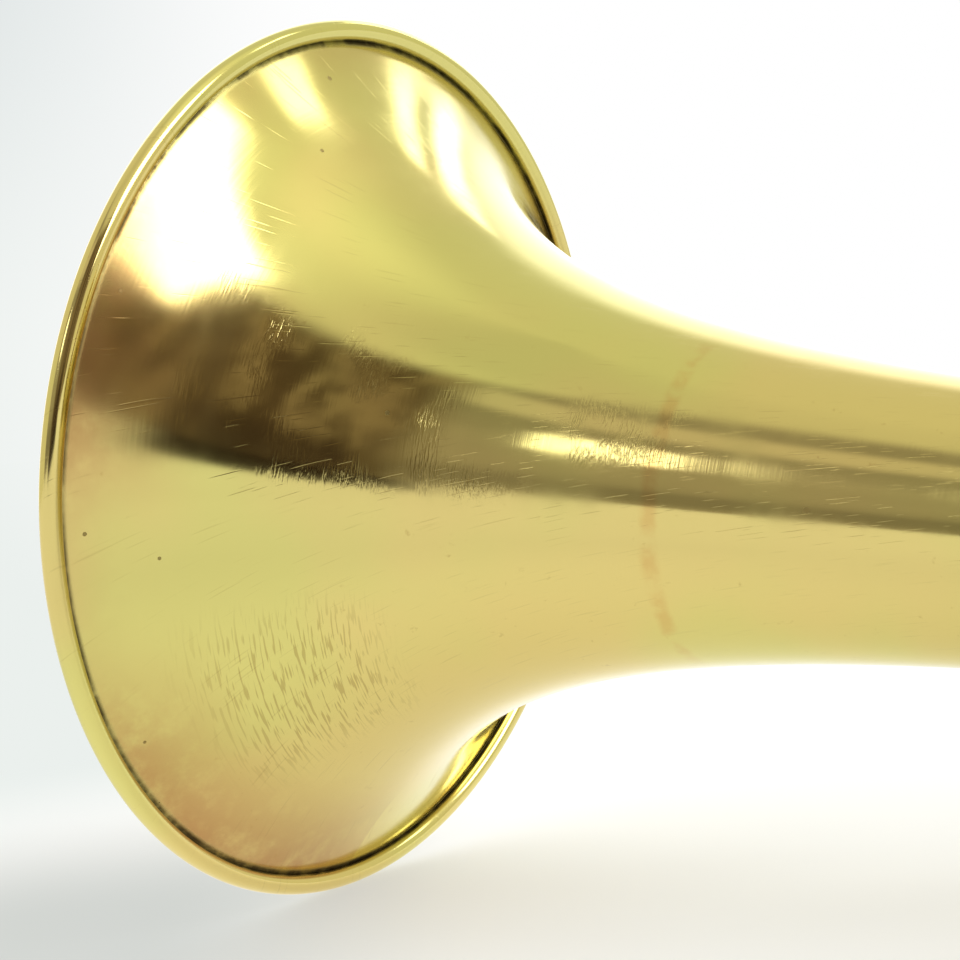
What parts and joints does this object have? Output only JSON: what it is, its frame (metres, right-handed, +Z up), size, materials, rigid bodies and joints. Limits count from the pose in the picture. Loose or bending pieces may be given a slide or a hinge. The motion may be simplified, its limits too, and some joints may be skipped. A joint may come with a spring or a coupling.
{
  "type": "trumpet",
  "caption": "B flat trumpet in raw worn brass, lying on its bell side, with piston valves, pull slides, a water key and a loose mouthpiece",
  "frame": {"origin": "centre of the box around the trumpet, on the surface it lies on", "axes": "-X toward the bell, +Z up; the finger buttons look toward -Y and upward, and the second slide points up"},
  "size_m": [0.5562, 0.1636, 0.1217],
  "materials": {
    "raw_brass": "polished raw brass, worn and tarnished in patches",
    "nickel_silver": "drawn nickel silver, satin",
    "silver_plate": "bright silver plate",
    "spring_steel": "drawn wire",
    "pearl_inlay": "polished shell",
    "wool_felt": "pressed wool",
    "cork": "cut cork"
  },
  "bodies": {
    "instrument": {"bell_bow": "raw_brass", "bell_bow_ferrule": "nickel_silver", "bell_flare": "raw_brass", "bell_rim_wire": "raw_brass", "bottom_cap_1": "raw_brass", "bottom_cap_2": "raw_brass", "bottom_cap_3": "raw_brass", "finger_hook": "raw_brass", "first_slide_sleeves": "raw_brass", "front_bell_brace": "raw_brass", "knuckle_1_2": "raw_brass", "knuckle_2_3": "raw_brass", "leadpipe": "raw_brass", "lower_tuning_sleeve": "raw_brass", "mouthpiece_receiver": "nickel_silver", "piston_spring_1": "spring_steel", "piston_spring_2": "spring_steel", "piston_spring_3": "spring_steel", "rear_bell_brace": "raw_brass", "second_slide_sleeves": "raw_brass", "third_slide_sleeves": "raw_brass", "top_cap_1": "raw_brass", "top_cap_2": "raw_brass", "top_cap_3": "raw_brass", "upper_tuning_sleeve": "raw_brass", "valve_casing_1": "raw_brass", "valve_casing_2": "raw_brass", "valve_casing_3": "raw_brass", "valve_guide_1": "spring_steel", "valve_guide_2": "spring_steel", "valve_guide_3": "spring_steel"},
    "first_valve": {"piston_1": "nickel_silver", "valve_stem_1": "nickel_silver", "finger_button_1": "raw_brass", "button_inlay_1": "pearl_inlay", "button_felt_1": "wool_felt"},
    "second_valve": {"piston_2": "nickel_silver", "valve_stem_2": "nickel_silver", "finger_button_2": "raw_brass", "button_inlay_2": "pearl_inlay", "button_felt_2": "wool_felt"},
    "third_valve": {"piston_3": "nickel_silver", "valve_stem_3": "nickel_silver", "finger_button_3": "raw_brass", "button_inlay_3": "pearl_inlay", "button_felt_3": "wool_felt"},
    "main_tuning_slide": {"tuning_slide": "raw_brass", "tuning_slide_brace": "raw_brass", "water_key_saddle": "raw_brass", "water_key_pin": "spring_steel"},
    "water_key": {"water_key_lever": "raw_brass", "water_key_cork": "cork"},
    "first_valve_slide": {"first_slide": "raw_brass", "thumb_saddle": "raw_brass"},
    "second_valve_slide": {"second_slide": "raw_brass", "second_slide_knob": "raw_brass"},
    "third_valve_slide": {"third_slide": "raw_brass", "finger_ring": "raw_brass", "third_slide_stop_rod": "nickel_silver"},
    "loose_mouthpiece": {"mouthpiece": "silver_plate"}
  },
  "joints": [
    {"name": "first_valve_press", "type": "slide", "parent": "instrument", "child": "first_valve", "axis": [-0.049, 0.9377, -0.344], "range_m": [0, 0.0165], "stiffness_N_per_m": 60, "springref_m": -0.025, "deforming": ["piston_spring_1"]},
    {"name": "second_valve_press", "type": "slide", "parent": "instrument", "child": "second_valve", "axis": [-0.049, 0.9377, -0.344], "range_m": [0, 0.0165], "stiffness_N_per_m": 60, "springref_m": -0.025, "deforming": ["piston_spring_2"]},
    {"name": "third_valve_press", "type": "slide", "parent": "instrument", "child": "third_valve", "axis": [-0.049, 0.9377, -0.344], "range_m": [0, 0.0165], "stiffness_N_per_m": 60, "springref_m": -0.025, "deforming": ["piston_spring_3"]},
    {"name": "tuning_slide_pull", "type": "slide", "parent": "instrument", "child": "main_tuning_slide", "axis": [-0.99, 0, 0.1409], "range_m": [0, 0.035]},
    {"name": "water_key_lift", "type": "hinge", "parent": "main_tuning_slide", "child": "water_key", "pos_m": [-0.112, 0.05589, 0.03375], "axis": [-0.1321, -0.3475, -0.9283], "range_deg": [0, 16], "stiffness_Nm_per_rad": 0.05, "springref_deg": -20.05},
    {"name": "first_slide_pull", "type": "slide", "parent": "instrument", "child": "first_valve_slide", "axis": [0.99, 0, -0.1409], "range_m": [0, 0.02]},
    {"name": "second_slide_pull", "type": "slide", "parent": "instrument", "child": "second_valve_slide", "axis": [0.1321, 0.3475, 0.9283], "range_m": [0, 0.012]},
    {"name": "third_slide_pull", "type": "slide", "parent": "instrument", "child": "third_valve_slide", "axis": [-0.99, 0, 0.1409], "range_m": [0, 0.0255]},
    {"name": "mouthpiece_pull", "type": "slide", "parent": "instrument", "child": "loose_mouthpiece", "axis": [0.99, 0, -0.1409], "range_m": [0, 0.03]}
  ]
}
